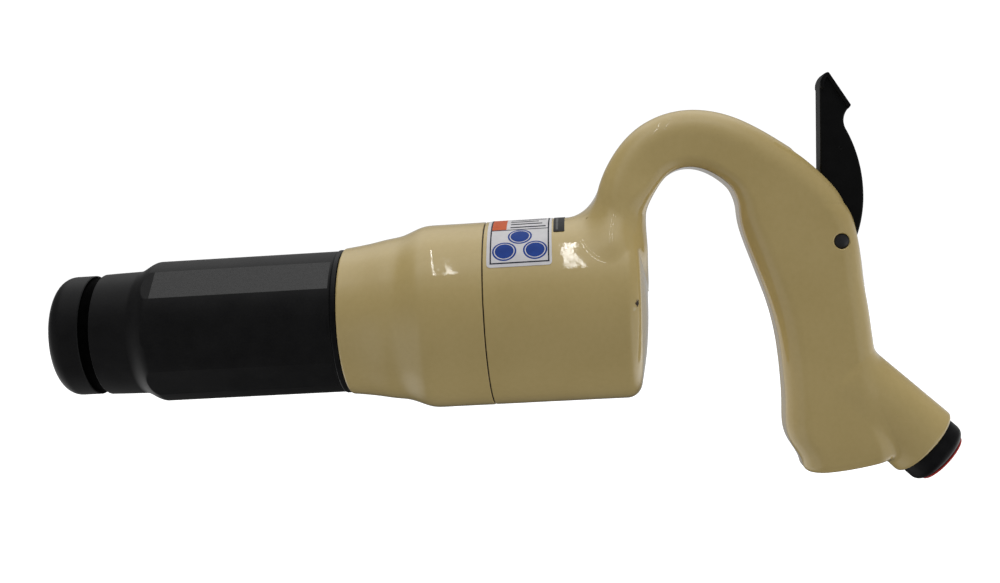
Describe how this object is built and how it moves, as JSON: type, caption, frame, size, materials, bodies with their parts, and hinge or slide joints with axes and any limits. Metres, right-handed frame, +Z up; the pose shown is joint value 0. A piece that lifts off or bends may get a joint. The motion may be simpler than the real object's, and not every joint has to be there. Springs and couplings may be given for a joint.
{
  "type": "pneumatic chipping hammer",
  "caption": "Pneumatic chipping hammer with a round barrel, exhaust deflector, open gooseneck handle, throttle lever and a plugged air inlet.",
  "frame": {"origin": "centre of the mouth of the chisel shank bore, in the plane of the barrel's nose face", "axes": "+X along the barrel from the chisel end to the handle, +Z up through the gooseneck, +Y completes the right-hand frame"},
  "size_m": [0.3772, 0.0772, 0.1696],
  "materials": {
    "black_oxide_steel": "satin black oxide",
    "black_steel": "black oxide",
    "black_lever": "satin black coating",
    "hardened_steel": "ground",
    "spring_steel": "drawn wire",
    "cream_enamel": "glossy enamel over a casting",
    "brass_fitting": "machined",
    "black_rubber": "moulded",
    "red_plastic": "moulded",
    "label_film": null,
    "black_label_film": "printed film, blank"
  },
  "bodies": {
    "hammer": {"barrel": "black_oxide_steel", "shank_bushing": "hardened_steel", "deflector_retaining_ring": "black_steel", "deflector_seal": "black_rubber", "valve_box": "hardened_steel", "valve_box_cover": "hardened_steel", "valve_box_dowels": "hardened_steel", "valve_box_clamp_washer": "spring_steel", "handle_casting": "cream_enamel", "lever_pin": "black_steel", "throttle_bush": "brass_fitting", "plunger_seal": "black_rubber", "throttle_spring": "spring_steel", "inlet_bushing": "black_steel", "inlet_screen": "brass_fitting", "safety_label": "label_film", "rating_label": "black_label_film"},
    "striker": {"piston": "hardened_steel"},
    "valve": {"cycle_valve": "hardened_steel"},
    "deflector": {"exhaust_deflector": "cream_enamel"},
    "lever": {"throttle_lever": "black_lever"},
    "plunger": {"throttle_plunger": "hardened_steel"},
    "poppet": {"throttle_valve": "brass_fitting"},
    "plug": {"dust_plug": "red_plastic"}
  },
  "joints": [
    {"name": "lever_press", "type": "hinge", "parent": "hammer", "child": "lever", "pos_m": [0.3298, 0, 0.022], "axis": [0, -1, 0], "range_deg": [0, 12], "stiffness_Nm_per_rad": 1.2, "springref_deg": -6.88},
    {"name": "plunger_slide", "type": "slide", "parent": "hammer", "child": "plunger", "axis": [-1, 0, 0], "range_m": [0, 0.004]},
    {"name": "throttle_valve_slide", "type": "slide", "parent": "hammer", "child": "poppet", "axis": [-1, 0, 0], "range_m": [0, 0.004], "deforming": ["throttle_spring"]},
    {"name": "piston_stroke", "type": "slide", "parent": "hammer", "child": "striker", "axis": [1, 0, 0], "range_m": [0, 0.0905]},
    {"name": "cycle_valve_slide", "type": "slide", "parent": "hammer", "child": "valve", "axis": [1, 0, 0], "range_m": [0, 0.003]},
    {"name": "deflector_turn", "type": "hinge", "parent": "hammer", "child": "deflector", "pos_m": [0.155, 0, 0], "axis": [1, 0, 0], "continuous": true},
    {"name": "plug_pull", "type": "slide", "parent": "hammer", "child": "plug", "axis": [0.7169, 0, -0.6972], "range_m": [0, 0.06]}
  ],
  "couplings": [
    {"joint": "plunger_slide", "follows": "lever_press", "m_per_rad": 0.019},
    {"joint": "throttle_valve_slide", "follows": "lever_press", "m_per_rad": 0.0187}
  ]
}
